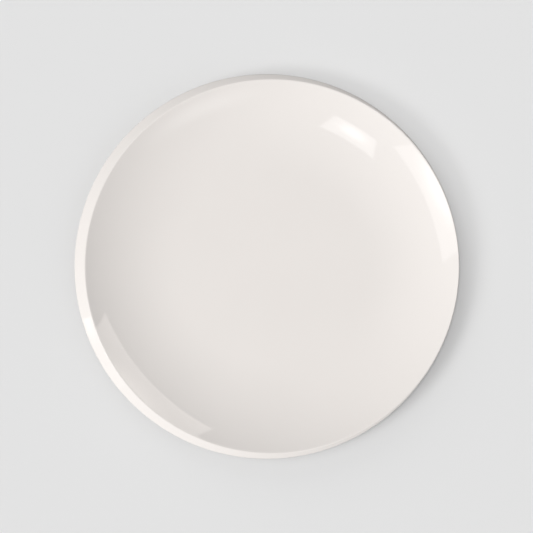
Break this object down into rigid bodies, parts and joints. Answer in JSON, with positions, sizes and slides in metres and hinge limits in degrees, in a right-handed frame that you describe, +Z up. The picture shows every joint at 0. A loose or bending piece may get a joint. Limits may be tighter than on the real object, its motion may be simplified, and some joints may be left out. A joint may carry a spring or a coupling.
{
  "type": "gourmet plate",
  "caption": "Large round rimless plate with a shallow flat-bottomed well, a crescent-shaped bevel along one side of its rim and a low foot ring, for serving food.",
  "frame": {"origin": "centre of the plate's outer circle, on the table plane under the foot ring", "axes": "+Z up out of the well, +X towards the side of the rim where the crescent bevel runs out, -X towards its widest point"},
  "size_m": [0.32, 0.32, 0.0225],
  "materials": {
    "bare_porcelain": "matte",
    "white_glaze": "polished"
  },
  "bodies": {
    "root": {"porcelain_body": "bare_porcelain", "main_glaze": "white_glaze", "base_glaze": "white_glaze"}
  },
  "joints": []
}
